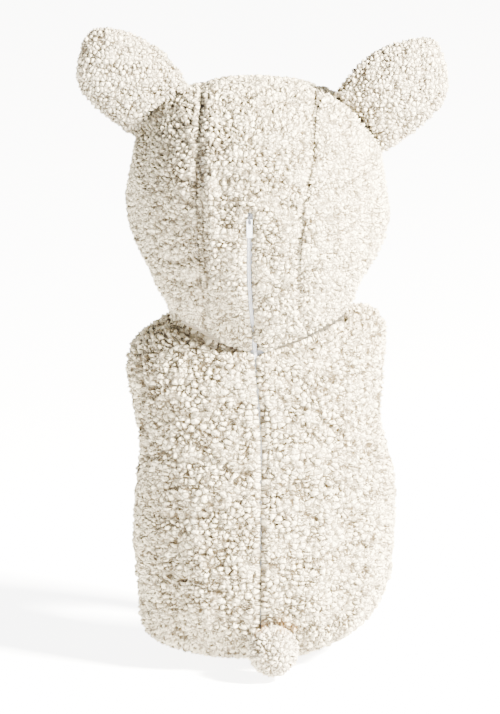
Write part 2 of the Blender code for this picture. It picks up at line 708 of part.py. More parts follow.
def slider_frame():
    """The slider's place: x across, y out of the cloth and z up, with its origin on the tape."""
    turn = np.radians(SLIT_TOP_ANGLE) - SLIDER_BELOW_TOP / HOOD_HALF_DEPTH
    away = np.array([[0.0, np.sin(turn), -np.cos(turn)]])
    middle = onto_hood(HOOD_CENTRE + away * 50 * MM)
    out = normals(hood_level, middle)
    place = leaning(middle + out * (LAID_GAP - CLOTH))[0]
    return Matrix.Translation(place) @ Matrix.Rotation(-HOOD_TURN, 4, "Z")


def placed(name, shape, frame, finish):
    mesh = bpy.data.meshes.new(name)
    shape.to_mesh(mesh)
    shape.free()
    obj = bpy.data.objects.new(name, mesh)
    obj.matrix_world = frame
    obj.data.materials.append(finish)
    bpy.context.collection.objects.link(obj)
    return obj


def join_boxes(name, boxes, frame, finish):
    """One solid from boxes that overlap, joined by Boolean unions."""
    pieces = []
    for number, (low, high) in enumerate(boxes):
        shape = bmesh.new()
        box(shape, low, high)
        piece = placed(name if number == 0 else f"{name}_add_{number}", shape, frame, finish)
        pieces.append(piece)
    for piece in pieces[1:]:
        union = pieces[0].modifiers.new(piece.name, "BOOLEAN")
        union.operation = "UNION"
        union.object = piece
        piece.hide_render = True
        piece.display_type = "WIRE"
    return pieces[0]


def slider(name, frame, finish):
    """The slider's body, with the bridge that carries the pull."""
    x, z = SLIDER_WIDTH / 2, SLIDER_LENGTH / 2
    bx, bz = BRIDGE_WIDTH / 2, BRIDGE_LENGTH / 2
    base, top = SLIDER_THICK, SLIDER_THICK + BRIDGE_HEIGHT
    bar = BRIDGE_BAR
    boxes = [
        ((-x, 0.0, -z), (x, base, z)),
        ((-bx, base - bar, bz - bar), (bx, top, bz)),
        ((-bx, base - bar, -bz), (bx, top, -bz + bar)),
        ((-bx, top - bar, -bz), (bx, top, bz)),
    ]
    return join_boxes(name, boxes, frame, finish)


def pull_tab(name, frame, finish):
    """The pull: a bar under the bridge, two arms beside it and a plate that hangs down. Its
    origin is on the bar, about which it swings."""
    hinge = SLIDER_THICK + (BRIDGE_HEIGHT - BRIDGE_BAR) / 2
    at_hinge = frame @ Matrix.Translation((0.0, hinge, -BRIDGE_LENGTH / 2 + BRIDGE_BAR + PULL_THICK))
    x, y = PULL_WIDTH / 2, PULL_THICK / 2
    boxes = [
        ((-x, -y, -y), (x, y, y)),
        ((-x, -y, -PULL_EYE - y), (-x + PULL_ARM, y, y)),
        ((x - PULL_ARM, -y, -PULL_EYE - y), (x, y, y)),
        ((-x, -y, -PULL_LENGTH), (x, y, -PULL_EYE)),
    ]
    pull = join_boxes(name, boxes, at_hinge, finish)
    return pull


def zip_stop(name, frame, x, z, finish):
    shape = bmesh.new()
    half = STOP_SIZE / 2
    box(shape, (x - half, 0.0, z - half), (x + half, STOP_SIZE, z + half))
    return placed(name, shape, frame, finish)


# ---------------------------------------------------------------- the costume

for old in list(bpy.data.objects):
    bpy.data.objects.remove(old, do_unlink=True)

sherpa = material("cream_sherpa", (0.80, 0.74, 0.64), 0.95, 0.0)
woven = material("white_tape", (0.82, 0.82, 0.80), 0.85, 0.0)
nylon = material("white_nylon", (0.85, 0.85, 0.84), 0.45, 0.0)
steel = material("plated_metal", (0.72, 0.72, 0.72), 0.3, 1.0)

back_half("back_left", 1, sherpa)
back_half("back_right", -1, sherpa)
front("front", sherpa)
hood_centre("hood_centre", sherpa)
hood_side("hood_side_left", 1, sherpa)
hood_side("hood_side_right", -1, sherpa)

for side, out, up, rise in zip(*EARS.values()):
    which = "left" if side > 0 else "right"
    ear_half(f"ear_{which}_back", side, out, up, rise, 1, sherpa)
    ear_half(f"ear_{which}_front", side, out, up, rise, -1, sherpa)
tail("tail", sherpa)

for side in (1, -1):
    which = "left" if side > 0 else "right"
    edges = sorted((side * SEAM_GAP / 2, side * TAPE_WIDTH))
    low = -LAID_GAP - TAPE_THICK
    zip_strip(f"zip_tape_{which}", edges, low, -LAID_GAP, woven)
coil = (-COIL_HALF_WIDTH, 0.0, COIL_HALF_WIDTH)
zip_strip("zip_coil", coil, 0.0, COIL_THICK, nylon, np.s_[1:])

at_slider = slider_frame()
slider("zip_slider", at_slider, steel)
pull_tab("zip_pull", at_slider, steel)
for side in (1, -1):
    which = "left" if side > 0 else "right"
    above = SLIDER_LENGTH / 2 + 1.5 * MM
    zip_stop(f"zip_top_stop_{which}", at_slider, side * 1.4 * MM, above, steel)
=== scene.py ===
import math

import bmesh
import bpy
import numpy as np
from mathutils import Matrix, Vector
from mathutils.bvhtree import BVHTree


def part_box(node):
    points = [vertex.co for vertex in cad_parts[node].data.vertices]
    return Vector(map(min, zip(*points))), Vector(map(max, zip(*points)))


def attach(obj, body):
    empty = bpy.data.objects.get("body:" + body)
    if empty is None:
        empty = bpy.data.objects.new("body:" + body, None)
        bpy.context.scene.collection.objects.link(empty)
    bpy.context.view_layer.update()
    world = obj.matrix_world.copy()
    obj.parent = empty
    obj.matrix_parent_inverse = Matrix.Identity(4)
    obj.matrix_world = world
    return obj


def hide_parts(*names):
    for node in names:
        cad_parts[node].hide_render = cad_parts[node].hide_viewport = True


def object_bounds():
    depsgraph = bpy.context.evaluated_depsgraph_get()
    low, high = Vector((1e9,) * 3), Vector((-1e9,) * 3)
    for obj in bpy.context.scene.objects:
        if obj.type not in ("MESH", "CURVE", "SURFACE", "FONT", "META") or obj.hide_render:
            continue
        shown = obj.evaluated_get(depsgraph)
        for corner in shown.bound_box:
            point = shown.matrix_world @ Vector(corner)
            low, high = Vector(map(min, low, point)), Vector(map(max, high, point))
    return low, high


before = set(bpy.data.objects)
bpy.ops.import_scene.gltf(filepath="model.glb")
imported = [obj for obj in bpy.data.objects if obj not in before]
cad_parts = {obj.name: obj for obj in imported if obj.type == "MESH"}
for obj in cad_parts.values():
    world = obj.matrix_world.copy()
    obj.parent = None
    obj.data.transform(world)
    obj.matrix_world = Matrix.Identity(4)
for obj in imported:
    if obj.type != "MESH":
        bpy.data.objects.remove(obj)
size_at_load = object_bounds()


# ---------------------------------------------------------------------------
# Hood, centre panel. One strip of sherpa fleece from the forehead over the crown to the nape, slit at the
# back for the zip. Sherpa is a knitted ground with a looped pile that clumps into soft nubs, so every panel
# is the cut cloth's smooth form with the pile worked on its outer face, and creases pressed into it.

VIEW_TILT = math.radians(14.0)   # lines that show from behind are placed as seen from 14 degrees above
CLOTH_GRAIN = 0.00153            # spacing of the points that carry the pile
HOOD_NUB = 0.0056                # width of one nub of the pile
HOOD_INSIDE = ((0.0, 0.010, 0.085), (0.0, 0.010, 0.120))   # line that the hood's walls face away from
CREAM = (0.85, 0.745, 0.525)
CREAM_COOL = (0.78, 0.69, 0.49)
# the tan of the pile's roots, deepened to near black as painted shade in the clefts between the nubs
ROOT_TAN_AND_SHADE = (0.050, 0.034, 0.014)
BROWN_SHADE_COLOUR = (0.30, 0.17, 0.06)   # brown painted shade where parts meet: under the hood's edge and round the tail's join
GROUND_KNIT = (0.70, 0.63, 0.50)
GROUND_SHADE = (0.50, 0.44, 0.34)
KNIT_ROWS = 160.0
HALF = (0.5, 0.5, 0.5)
NUB_WRIGGLE = 0.78               # how wormlike the clefts between the nubs are
CURLS_TO_A_NUB = 1.9
ROW_STRETCH = (0.24, 0.24, 0.74)   # the nubs lie in rows, wider than they are tall
DARKEST = 0.985
FIBRE_BUMP = 0.0017
HOOD_FIBRE = 560.0
SAME_PLACE = 1e-5
MM_IN_A_METRE = 1000.0
TINY = 1e-9                      # keeps a length from being zero where it divides


def add_node(tree, kind, links=None, **settings):
    node = tree.nodes.new(kind)
    for key, value in settings.items():
        setattr(node, key, value)
    for key, value in (links or {}).items():
        socket = node.inputs[key]
        if isinstance(value, bpy.types.NodeSocket):
            tree.links.new(value, socket)
        else:
            socket.default_value = value
    return node


def maths(tree, operation, a, b=0.0, c=0.0, clamp=False):
    node = add_node(tree, "ShaderNodeMath", {0: a, 1: b, 2: c}, operation=operation, use_clamp=clamp)
    return node.outputs[0]


def vector_maths(tree, operation, a, b=(0.0, 0.0, 0.0)):
    node = add_node(tree, "ShaderNodeVectorMath", {0: a}, operation=operation)
    second = node.inputs["Scale"] if operation == "SCALE" else node.inputs[1]
    if isinstance(b, bpy.types.NodeSocket):
        tree.links.new(b, second)
    else:
        second.default_value = b
    return node.outputs["Value"] if operation in ("DOT_PRODUCT", "LENGTH") else node.outputs["Vector"]


def eased(tree, value, low, high, to_low=0.0, to_high=1.0):
    node = add_node(tree, "ShaderNodeMapRange", interpolation_type="SMOOTHSTEP")
    for key, given in (
        ("Value", value), ("From Min", low), ("From Max", high), ("To Min", to_low), ("To Max", to_high)
    ):
        if isinstance(given, bpy.types.NodeSocket):
            tree.links.new(given, node.inputs[key])
        else:
            node.inputs[key].default_value = given
    return node.outputs["Result"]


def bare_material(name):
    material = bpy.data.materials.new(name)
    material.use_nodes = True
    material.node_tree.nodes.clear()
    return material, material.node_tree


def noise_at(tree, place, scale, detail, roughness=0.5, output="Fac"):
    inputs = {"Vector": place, "Scale": scale, "Detail": detail, "Roughness": roughness}
    return add_node(tree, "ShaderNodeTexNoise", inputs).outputs[output]


def cell_edge(tree, cells, scale, randomness):
    """How far a point is from the edge of its cell."""
    inputs = {"Vector": cells, "Scale": scale, "Randomness": randomness}
    return add_node(tree, "ShaderNodeTexVoronoi", inputs, feature="DISTANCE_TO_EDGE").outputs["Distance"]


def blended(tree, share, first, second, **how):
    node = add_node(tree, "ShaderNodeMix", {0: share, 6: first, 7: second}, data_type="RGBA", **how)
    return node.outputs[2]


def fleece_material(name, cream, cool, root, fibre_scale, row_shade_strength):
    """Cream looped pile: pale on the nubs, tan at their roots, with painted shade darkening the clefts
    between nubs, curls and rows toward near black, fine curled fibre in the bump.
    """
    material, tree = bare_material(name)
    place = add_node(tree, "ShaderNodeTexCoord").outputs["Object"]
    cells = add_node(tree, "ShaderNodeAttribute", attribute_name="nubs").outputs["Vector"]
    outside, deep, crease_shade, brown_shade = (
        add_node(tree, "ShaderNodeAttribute", attribute_name=label).outputs["Fac"]
        for label in ("pile", "deep", "crease_shade", "brown_shade")
    )
    # The cells of the relief, wriggled, give the nubs, the curls on them and the rows that they lie in.
    sway = noise_at(tree, cells, 2.6, 1.0, output="Color")
    sway = vector_maths(tree, "SCALE", vector_maths(tree, "SUBTRACT", sway, HALF), NUB_WRIGGLE)
    wriggled = vector_maths(tree, "ADD", cells, sway)
    lying = vector_maths(tree, "MULTIPLY", wriggled, ROW_STRETCH)
    nub_edge = cell_edge(tree, wriggled, 1.0, 0.9)
    curl_edge = cell_edge(tree, wriggled, CURLS_TO_A_NUB, 1.0)
    row_edge = cell_edge(tree, lying, 1.0, 0.75)
    fibre = noise_at(tree, place, fibre_scale, 3.0, 0.65)
    patches = noise_at(tree, place, 24.0, 3.0)
    uneven = noise_at(tree, cells, 0.9, 2.0)
    # Pale on top of the nubs, flecked by single fibres.
    body = blended(tree, eased(tree, patches, 0.35, 0.68), (*cool, 1), (*cream, 1))
    fleck = eased(tree, fibre, 0.34, 0.58, 0.78, 1.0)
    grey = add_node(tree, "ShaderNodeCombineColor", {0: fleck, 1: fleck, 2: fleck}).outputs[0]
    lit = blended(tree, 1.0, body, grey, blend_type="MULTIPLY")
    # Painted shade, darkest at the roots: between the nubs, the curls and the rows, and down in the pressed
    # troughs.
    strength = maths(
        tree, "MULTIPLY", eased(tree, deep, 0.1, 0.9, 0.86, 1.0), eased(tree, uneven, 0.32, 0.52, 0.80, 1.0)
    )
    cleft = eased(tree, nub_edge, 0.165, 0.05, 0.0, 0.86)
    shade = eased(tree, nub_edge, 0.34, 0.05, 0.0, 0.14)
    between_nubs = maths(tree, "MULTIPLY", maths(tree, "ADD", cleft, shade), strength)
    between_curls = maths(
        tree, "MULTIPLY", eased(tree, curl_edge, 0.16, 0.03), eased(tree, uneven, 0.40, 0.60, 0.05, 0.42)
    )
    between_rows = maths(
        tree, "MULTIPLY", eased(tree, row_edge, 0.105, 0.02), eased(tree, uneven, 0.34, 0.58, 0.35, 1.0)
    )
    between = maths(tree, "MAXIMUM", between_nubs, between_curls)
    between = maths(tree, "MAXIMUM", between, maths(tree, "MULTIPLY", between_rows, row_shade_strength))
    shaded_creases = maths(tree, "MULTIPLY", crease_shade, eased(tree, uneven, 0.30, 0.62, 0.55, 1.0))
    between = maths(tree, "MAXIMUM", between, shaded_creases)
    shaded_to_roots = blended(tree, maths(tree, "MULTIPLY", between, DARKEST), lit, (*root, 1))
    # Brown painted shade under the hood's edge at the zip and where the tail meets the seat.
    brown_shaded = blended(tree, brown_shade, shaded_to_roots, (*BROWN_SHADE_COLOUR, 1))
    # The inner face is the knitted ground.
    knit = {"Vector": place, "Scale": KNIT_ROWS, "Distortion": 1.2, "Detail": 2.0}
    knit_rows = add_node(tree, "ShaderNodeTexWave", knit, bands_direction="Z").outputs["Fac"]
    knit_tone = blended(tree, knit_rows, (*GROUND_SHADE, 1), (*GROUND_KNIT, 1))
    colour = blended(tree, outside, knit_tone, brown_shaded)
    round_nubs = maths(tree, "MULTIPLY", eased(tree, nub_edge, 0.0, 0.40), 1.0)
    round_curls = maths(tree, "MULTIPLY", eased(tree, curl_edge, 0.0, 0.32), 0.6)
    curls = maths(tree, "ADD", round_nubs, round_curls)
    curls = maths(tree, "ADD", curls, maths(tree, "MULTIPLY", fibre, 0.45))
    knit_height = maths(tree, "MULTIPLY", knit_rows, 0.5)
    height = add_node(tree, "ShaderNodeMix", {0: outside, 2: knit_height, 3: curls}).outputs[0]
    bump = add_node(tree, "ShaderNodeBump", {"Strength": 1.0, "Distance": FIBRE_BUMP, "Height": height})
    inputs = {"Base Color": colour, "Normal": bump.outputs["Normal"]}
    shader = add_node(tree, "ShaderNodeBsdfPrincipled", inputs)
    shader.inputs["Roughness"].default_value = 0.95
    shader.inputs["Specular IOR Level"].default_value = 0.1
    shader.inputs["Sheen Weight"].default_value = 0.06
    shader.inputs["Sheen Roughness"].default_value = 0.6
    shader.inputs["Sheen Tint"].default_value = (1.0, 0.97, 0.92, 1.0)
    add_node(tree, "ShaderNodeOutputMaterial", {"Surface": shader.outputs["BSDF"]})
    return material


def merged_copy(name, nodes):
    """One closed mesh with the form of the named solids."""
    whole = bmesh.new()
    for node in nodes:
        whole.from_mesh(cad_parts[node].data)
    bmesh.ops.remove_doubles(whole, verts=whole.verts, dist=SAME_PLACE)
    bmesh.ops.join_triangles(whole, faces=whole.faces, angle_face_threshold=0.7, angle_shape_threshold=0.9)
    bmesh.ops.recalc_face_normals(whole, faces=whole.faces)
    mesh = bpy.data.meshes.new(name)
    whole.to_mesh(mesh)
    whole.free()
    piece = bpy.data.objects.new(name, mesh)
    bpy.context.scene.collection.objects.link(piece)
    return piece


def settle(piece):
    """Leaves the piece as the plain mesh that its modifiers make."""
    bpy.context.view_layer.update()
    made = bpy.data.meshes.new_from_object(piece.evaluated_get(bpy.context.evaluated_depsgraph_get()))
    piece.modifiers.clear()
    old = piece.data
    piece.data = made
    made.name = piece.name
    bpy.data.meshes.remove(old)
    return piece


def smooth_wall(piece, grain, softening=14):
    """Lays an even grain of points over the wall and rounds its facets and cut edges."""
    even = piece.modifiers.new("even", "REMESH")
    even.mode = "VOXEL"
    even.voxel_size = grain
    soften = piece.modifiers.new("soften", "SMOOTH")
    soften.factor = 0.5
    soften.iterations = softening
    return settle(piece)


def read_points(piece):
    count = len(piece.data.vertices)
    places = np.empty(count * 3, np.float32)
    piece.data.vertices.foreach_get("co", places)
    facing = np.empty(count * 3, np.float32)
    piece.data.vertices.foreach_get("normal", facing)
    return places.reshape(-1, 3).astype(float), facing.reshape(-1, 3).astype(float)


def write_points(piece, places):
    piece.data.vertices.foreach_set("co", places.astype(np.float32).ravel())
    piece.data.update()


def seen_from(side, places, facing):
    """Flat coordinates of the points as seen from one side, and which of them face it."""
    if side == "behind":
        up = places[:, 2] * math.cos(VIEW_TILT) - places[:, 1] * math.sin(VIEW_TILT)
        return np.stack([places[:, 0], up], 1), facing[:, 1] > -0.1
    if side == "front":
        return np.stack([places[:, 0], places[:, 2]], 1), facing[:, 1] < 0.1
    if side == "left":
        return np.stack([places[:, 1], places[:, 2]], 1), (facing[:, 0] > 0.1) & (places[:, 0] > 0)
    return np.stack([places[:, 1], places[:, 2]], 1), (facing[:, 0] < -0.1) & (places[:, 0] < 0)


OUTER_EDGE = 2.5            # how fast the creases set in where the wall turns outward
CREASE_ENDS = 6             # a crease runs out over a sixth of its length at each end,
CREASE_END_DEPTH = 0.35     # and ends at this share of its depth
CREASE_SHADE_DEPTH = 0.0022


def press(piece, creases, inside):
    """Soft troughs (depth below zero: ridges) along short lines: (side, width mm, depth mm, points mm)."""
    places, facing = read_points(piece)
    lower, upper = np.array(inside[0]), np.array(inside[1])
    run = upper - lower
    along = np.clip((places - lower) @ run / max(run @ run, TINY), 0, 1)
    out = places - lower - along[:, None] * run
    distance = np.maximum(np.linalg.norm(out, axis=1), TINY)
    outward = np.clip((facing * out).sum(1) / distance * OUTER_EDGE, 0, 1)
    move = np.zeros(len(places))
    for side, width, depth, points in creases:
        flat, turned = seen_from(side, places, facing)
        line = np.array(points, float) / MM_IN_A_METRE
        nearest = np.full(len(places), np.inf)
        fade = np.zeros(len(places))
        lengths = np.r_[0, np.cumsum(np.linalg.norm(np.diff(line, axis=0), axis=1))]
        for i in range(len(line) - 1):
            step = line[i + 1] - line[i]
            share = np.clip(((flat - line[i]) @ step) / (step @ step), 0, 1)
            away = np.linalg.norm(flat - line[i] - share[:, None] * step, axis=1)
            closer = away < nearest
            nearest = np.where(closer, away, nearest)
            walked = (lengths[i] + share * (lengths[i + 1] - lengths[i])) / lengths[-1]
            fade = np.where(closer, walked, fade)
        taper = np.clip(np.minimum(fade, 1 - fade) * CREASE_ENDS + CREASE_END_DEPTH, 0, 1)
        across = nearest / (width / MM_IN_A_METRE)
        move += np.where(turned, depth / MM_IN_A_METRE * np.exp(-across ** 2) * taper, 0.0)
    write_points(piece, places - facing * (move * outward)[:, None])
    # The deeper a trough, the more painted shade the fleece material lays into it through this mark.
    mark = piece.data.attributes.new("crease_shade", "FLOAT", "POINT")
    mark.data.foreach_set("value", np.clip(move / CREASE_SHADE_DEPTH - 0.3, 0, 1).astype(np.float32))
    return piece


ZIP_TOP_FADE = 0.010
ZIP_FOOT_FADE = 0.006


def close_over(piece, line, closing, rise, reach=0.006, least=0.0006):
    """The pile beside the zip leans over it: points mm (x, height seen from behind), closing mm, rise mm."""
    places, facing = read_points(piece)
    flat, turned = seen_from("behind", places, facing)
    table = np.array(line, float)[::-1] / MM_IN_A_METRE
    middle = np.interp(flat[:, 1], table[:, 1], table[:, 0])
    aside = flat[:, 0] - middle
    away = np.abs(aside)
    below_top = np.clip((table[-1, 1] - flat[:, 1]) / ZIP_TOP_FADE, 0, 1)
    above_foot = np.clip((flat[:, 1] - table[0, 1]) / ZIP_FOOT_FADE, 0, 1)
    outer = np.clip(facing[:, 1] * 2.0 + 0.9, 0, 1) * (places[:, 1] > 0)
    near = np.exp(-(away / reach) ** 2) * outer * (below_top * above_foot)
    shift = np.minimum(closing / MM_IN_A_METRE * near, np.maximum(away - least, 0))
    places[:, 0] -= np.sign(aside) * shift
    places[:, 1] += rise / MM_IN_A_METRE * near
    write_points(piece, places)
    return piece


def brown(piece, spots):
    """Brown painted shade where parts meet, as a mark for the fleece material: (place mm, reach mm,
    strength).
    """
    places, facing = read_points(piece)
    brown_shade = np.zeros(len(places))
    for centre, reach, strength in spots:
        away = np.linalg.norm(places * MM_IN_A_METRE - np.array(centre), axis=1) / reach
        brown_shade = np.maximum(brown_shade, strength * np.exp(-away ** 2))
    mark = piece.data.attributes.new("brown_shade", "FLOAT", "POINT")
    mark.data.foreach_set("value", brown_shade.astype(np.float32))
    return piece


SEED_PARTS = (1.7, 2.3)      # how many times the seed the cells shift in y and z
NUB_SWAY = 0.8
SLOW_SWELL = 0.003           # height of the slow waves that the cloth lies in


def pile_tree(name):
    """Geometry nodes that raise a looped pile on the outer face of a piece of fleece."""
    tree = bpy.data.node_groups.new(name, "GeometryNodeTree")
    face = tree.interface
    face.new_socket("Cloth", in_out="INPUT", socket_type="NodeSocketGeometry")
    for label, kind, given in (
        ("Nub size", "NodeSocketFloat", 0.0085),
        ("Nub height", "NodeSocketFloat", 0.0022),
        ("Curl height", "NodeSocketFloat", 0.0009),
        ("Row squeeze", "NodeSocketFloat", 1.25),
        ("Lift", "NodeSocketFloat", 0.0006),
        ("Edge lift", "NodeSocketFloat", 0.0024),
        ("Inside low", "NodeSocketVector", (0.0, 0.0, 0.0)),
        ("Inside high", "NodeSocketVector", (0.0, 0.0, 0.1)),
        ("All round", "NodeSocketFloat", 0.0),
        ("Seed", "NodeSocketFloat", 1.0),
        ("Fleece", "NodeSocketMaterial", None),
    ):
        socket = face.new_socket(label, in_out="INPUT", socket_type=kind)
        if given is not None:
            socket.default_value = given
    face.new_socket("Cloth", in_out="OUTPUT", socket_type="NodeSocketGeometry")
    given = add_node(tree, "NodeGroupInput").outputs
    here = add_node(tree, "GeometryNodeInputPosition").outputs[0]
    facing = add_node(tree, "GeometryNodeInputNormal").outputs[0]
    # How far a point faces away from the line inside the piece.
    run = vector_maths(tree, "SUBTRACT", given["Inside high"], given["Inside low"])
    from_low = vector_maths(tree, "SUBTRACT", here, given["Inside low"])
    along_run = vector_maths(tree, "DOT_PRODUCT", from_low, run)
    share = maths(tree, "DIVIDE", along_run, vector_maths(tree, "DOT_PRODUCT", run, run), clamp=True)
    foot = vector_maths(tree, "SCALE", run, share)
    out = vector_maths(tree, "NORMALIZE", vector_maths(tree, "SUBTRACT", from_low, foot))
    turned = vector_maths(tree, "DOT_PRODUCT", out, facing)
    outward = maths(tree, "MAXIMUM", eased(tree, turned, -0.62, -0.2), given["All round"])
    # Nubs: warped cells a little wider than they are tall, so that they fall into loose rows.
    shift_y, shift_z = (maths(tree, "MULTIPLY", given["Seed"], part) for part in SEED_PARTS)
    offset = add_node(tree, "ShaderNodeCombineXYZ", {0: given["Seed"], 1: shift_y, 2: shift_z}).outputs[0]
    cells = vector_maths(tree, "SCALE", here, maths(tree, "DIVIDE", 1.0, given["Nub size"]))
    cells = vector_maths(tree, "ADD", cells, offset)
    sway = noise_at(tree, cells, 0.55, 2.0, output="Color")
    sway = vector_maths(tree, "SCALE", vector_maths(tree, "SUBTRACT", sway, HALF), NUB_SWAY)
    cells = vector_maths(tree, "ADD", cells, sway)
    rows = add_node(tree, "ShaderNodeCombineXYZ", {0: 1.0, 1: 1.0, 2: given["Row squeeze"]}).outputs[0]
    cells = vector_maths(tree, "MULTIPLY", cells, rows)
    nub_edge = cell_edge(tree, cells, 1.0, 0.9)
    curl_edge = cell_edge(tree, cells, 2.1, 1.0)
    nub = maths(tree, "POWER", eased(tree, nub_edge, -0.10, 0.38), 0.8)
    curl = maths(tree, "POWER", eased(tree, curl_edge, -0.10, 0.34), 0.8)
    deep = eased(tree, noise_at(tree, cells, 0.42, 2.0), 0.34, 0.62, 0.0, 1.0)
    swell = noise_at(tree, cells, 0.14, 1.0)
    # Between the nubs the pile goes down, but not at a cut edge, where two panels' edges close the seam.
    nub_foot = maths(tree, "MULTIPLY", maths(tree, "SUBTRACT", 1.0, nub), given["Nub height"])
    curl_foot = maths(tree, "MULTIPLY", maths(tree, "SUBTRACT", 1.0, curl), given["Curl height"])
    down = maths(tree, "ADD", maths(tree, "MULTIPLY", nub_foot, maths(tree, "ADD", deep, 0.55)), curl_foot)
    off_edge = maths(tree, "MAXIMUM", eased(tree, turned, 0.05, 0.55), given["All round"])
    down = maths(tree, "MULTIPLY", down, off_edge)
    swelling = maths(tree, "MULTIPLY", maths(tree, "SUBTRACT", swell, 0.5), SLOW_SWELL)
    rise = eased(tree, turned, 0.15, 0.75, given["Edge lift"], given["Lift"])
    lift = maths(tree, "ADD", maths(tree, "SUBTRACT", rise, down), swelling)
    lift = maths(tree, "MULTIPLY", lift, outward)
    kept = given["Cloth"]
    for label, kind, value in (
        ("nubs", "FLOAT_VECTOR", cells), ("deep", "FLOAT", deep), ("pile", "FLOAT", outward)
    ):
        inputs = {"Geometry": kept, "Name": label, "Value": value}
        store = add_node(tree, "GeometryNodeStoreNamedAttribute", inputs, data_type=kind, domain="POINT")
        kept = store.outputs[0]
    raised = {"Geometry": kept, "Offset": vector_maths(tree, "SCALE", facing, lift)}
    moved = add_node(tree, "GeometryNodeSetPosition", raised).outputs[0]
    smooth = add_node(tree, "GeometryNodeSetShadeSmooth", {"Geometry": moved}).outputs[0]
    whole = add_node(tree, "GeometryNodeRealizeInstances", {"Geometry": smooth}).outputs[0]
    covered = {"Geometry": whole, "Material": given["Fleece"]}
    dressed = add_node(tree, "GeometryNodeSetMaterial", covered).outputs[0]
    add_node(tree, "NodeGroupOutput", {"Cloth": dressed})
    return tree


def give_inputs(modifier, values):
    for item in modifier.node_group.interface.items_tree:
        if item.item_type == "SOCKET" and item.in_out == "INPUT" and item.name in values:
            modifier[item.identifier] = values[item.name]


def raise_pile(
    piece, inside, fleece, nub, seed, nub_height=0.0034, curl_height=0.0013, lift=0.0013, edge_lift=0.0024,
    all_round=0.0, rows=1.25
):
    grown = piece.modifiers.new("pile", "NODES")
    grown.node_group = sherpa_pile
    give_inputs(grown, {
        "Nub size": nub,
        "Nub height": nub_height,
        "Curl height": curl_height,
        "Row squeeze": rows,
        "Lift": lift,
        "Edge lift": edge_lift,
        "Inside low": inside[0],
        "Inside high": inside[1],
        "All round": all_round,
        "Seed": seed,
        "Fleece": fleece,
    })
    return settle(piece)


hood_fleece = fleece_material("cream sherpa fleece, hood", CREAM, CREAM_COOL, ROOT_TAN_AND_SHADE, HOOD_FIBRE, 0.9)
sherpa_pile = pile_tree("sherpa pile")

ZIP_IN_HOOD = (
    (10.2, 98.0), (10.2, 70.0), (8.4, 27.9), (7.4, -11.2), (4.1, -30.7), (2.8, -50.2), (2.8, -60.0)
)
HOOD_SLIT_CLOSING = -1.1   # mm: below zero, the slit in the hood stands a little open
LEFT_SEAM_TOP = ((56.5, 200.0), (57.0, 170.0), (57.5, 140.0), (57.8, 120.0))
LEFT_SEAM = (
    (57.6, 134.0), (57.8, 98.6), (56.3, 70.0), (55.4, 40.0), (53.0, 15.8), (51.0, -8.0), (49.5, -24.0)
)
BESIDE_LEFT_SEAM = (
    (46.5, 190.0), (47.5, 147.0), (47.8, 98.6), (46.3, 70.0), (45.4, 40.0), (43.0, 15.8), (41.0, -8.0)
)
RIGHT_SEAM = ((-52.1, 196.0), (-46.5, 122.8), (-41.9, 98.6), (-37.2, 75.3), (-35.0, 40.0), (-36.0, 0.0))
HOOD_BAG = ((80.0, -4.0), (44.0, -20.0), (4.0, -33.0), (-30.0, -29.0), (-62.0, -8.0))
HOOD_CENTRE_CREASES = (
    ("behind", 2.6, 1.5, LEFT_SEAM_TOP),
    ("behind", 4.8, 3.8, LEFT_SEAM),
    ("behind", 6.0, -1.6, BESIDE_LEFT_SEAM),
    ("behind", 3.0, 1.8, RIGHT_SEAM),
    ("behind", 8.0, -2.4, HOOD_BAG),
    ("behind", 2.0, 2.6, ((44.6, 106.0), (28.8, 108.8), (10.2, 107.9), (-10.2, 109.7), (-27.0, 106.0))),
    ("behind", 1.8, 2.4, ((44.6, 80.9), (27.0, 84.6), (14.9, 86.5))),
    ("behind", 1.8, 2.6, ((2.8, 88.3), (-13.0, 86.5), (-27.0, 86.5), (-33.5, 80.0))),
    ("behind", 2.2, 1.8, ((40.0, 40.0), (28.0, 37.0), (16.0, 39.0))),
    ("behind", 2.2, 1.8, ((-5.0, 12.0), (-18.0, 9.0), (-32.0, 11.0))),
    ("front", 3.0, 1.0, ((-40.0, 196.0), (-10.0, 192.0), (30.0, 195.0))),
)
hood_centre = merged_copy("hood_centre_fleece", ["hood_centre"])
smooth_wall(hood_centre, CLOTH_GRAIN)
press(hood_centre, HOOD_CENTRE_CREASES, HOOD_INSIDE)
close_over(hood_centre, ZIP_IN_HOOD, HOOD_SLIT_CLOSING, 0.0)
raise_pile(hood_centre, HOOD_INSIDE, hood_fleece, HOOD_NUB, 3.1)
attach(hood_centre, "costume")
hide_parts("hood_centre")


# ---------------------------------------------------------------------------
# Hood, side panels. Two rounded fleece panels sewn to the centre strip; each seam sinks into a groove and
# the left one bags a little over the neck.

HOOD_LEFT_CREASES = (
    ("behind", 2.6, 1.5, LEFT_SEAM_TOP),
    ("behind", 5.0, 4.0, LEFT_SEAM),
    ("behind", 8.0, -2.4, HOOD_BAG),
    ("behind", 2.0, 2.6, ((61.0, 107.0), (72.0, 110.0), (80.0, 108.0))),
    ("behind", 3.0, 3.0, ((56.0, 40.0), (68.0, 35.0), (80.0, 33.0), (92.0, 36.0))),
    ("behind", 3.0, 2.6, ((54.0, 18.0), (66.0, 14.0), (78.0, 15.0), (90.0, 19.0))),
    ("behind", 2.6, 2.0, ((60.0, 66.0), (74.0, 62.0), (86.0, 64.0))),
    ("left", 5.0, 1.4, ((40.0, 40.0), (10.0, 30.0), (-25.0, 34.0))),
    ("left", 5.0, 1.2, ((35.0, 12.0), (5.0, 6.0), (-30.0, 12.0))),
)
hood_side_left = merged_copy("hood_side_left_fleece", ["hood_side_left"])
smooth_wall(hood_side_left, CLOTH_GRAIN)
press(hood_side_left, HOOD_LEFT_CREASES, HOOD_INSIDE)
raise_pile(hood_side_left, HOOD_INSIDE, hood_fleece, HOOD_NUB, 11.4)
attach(hood_side_left, "costume")
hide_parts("hood_side_left")

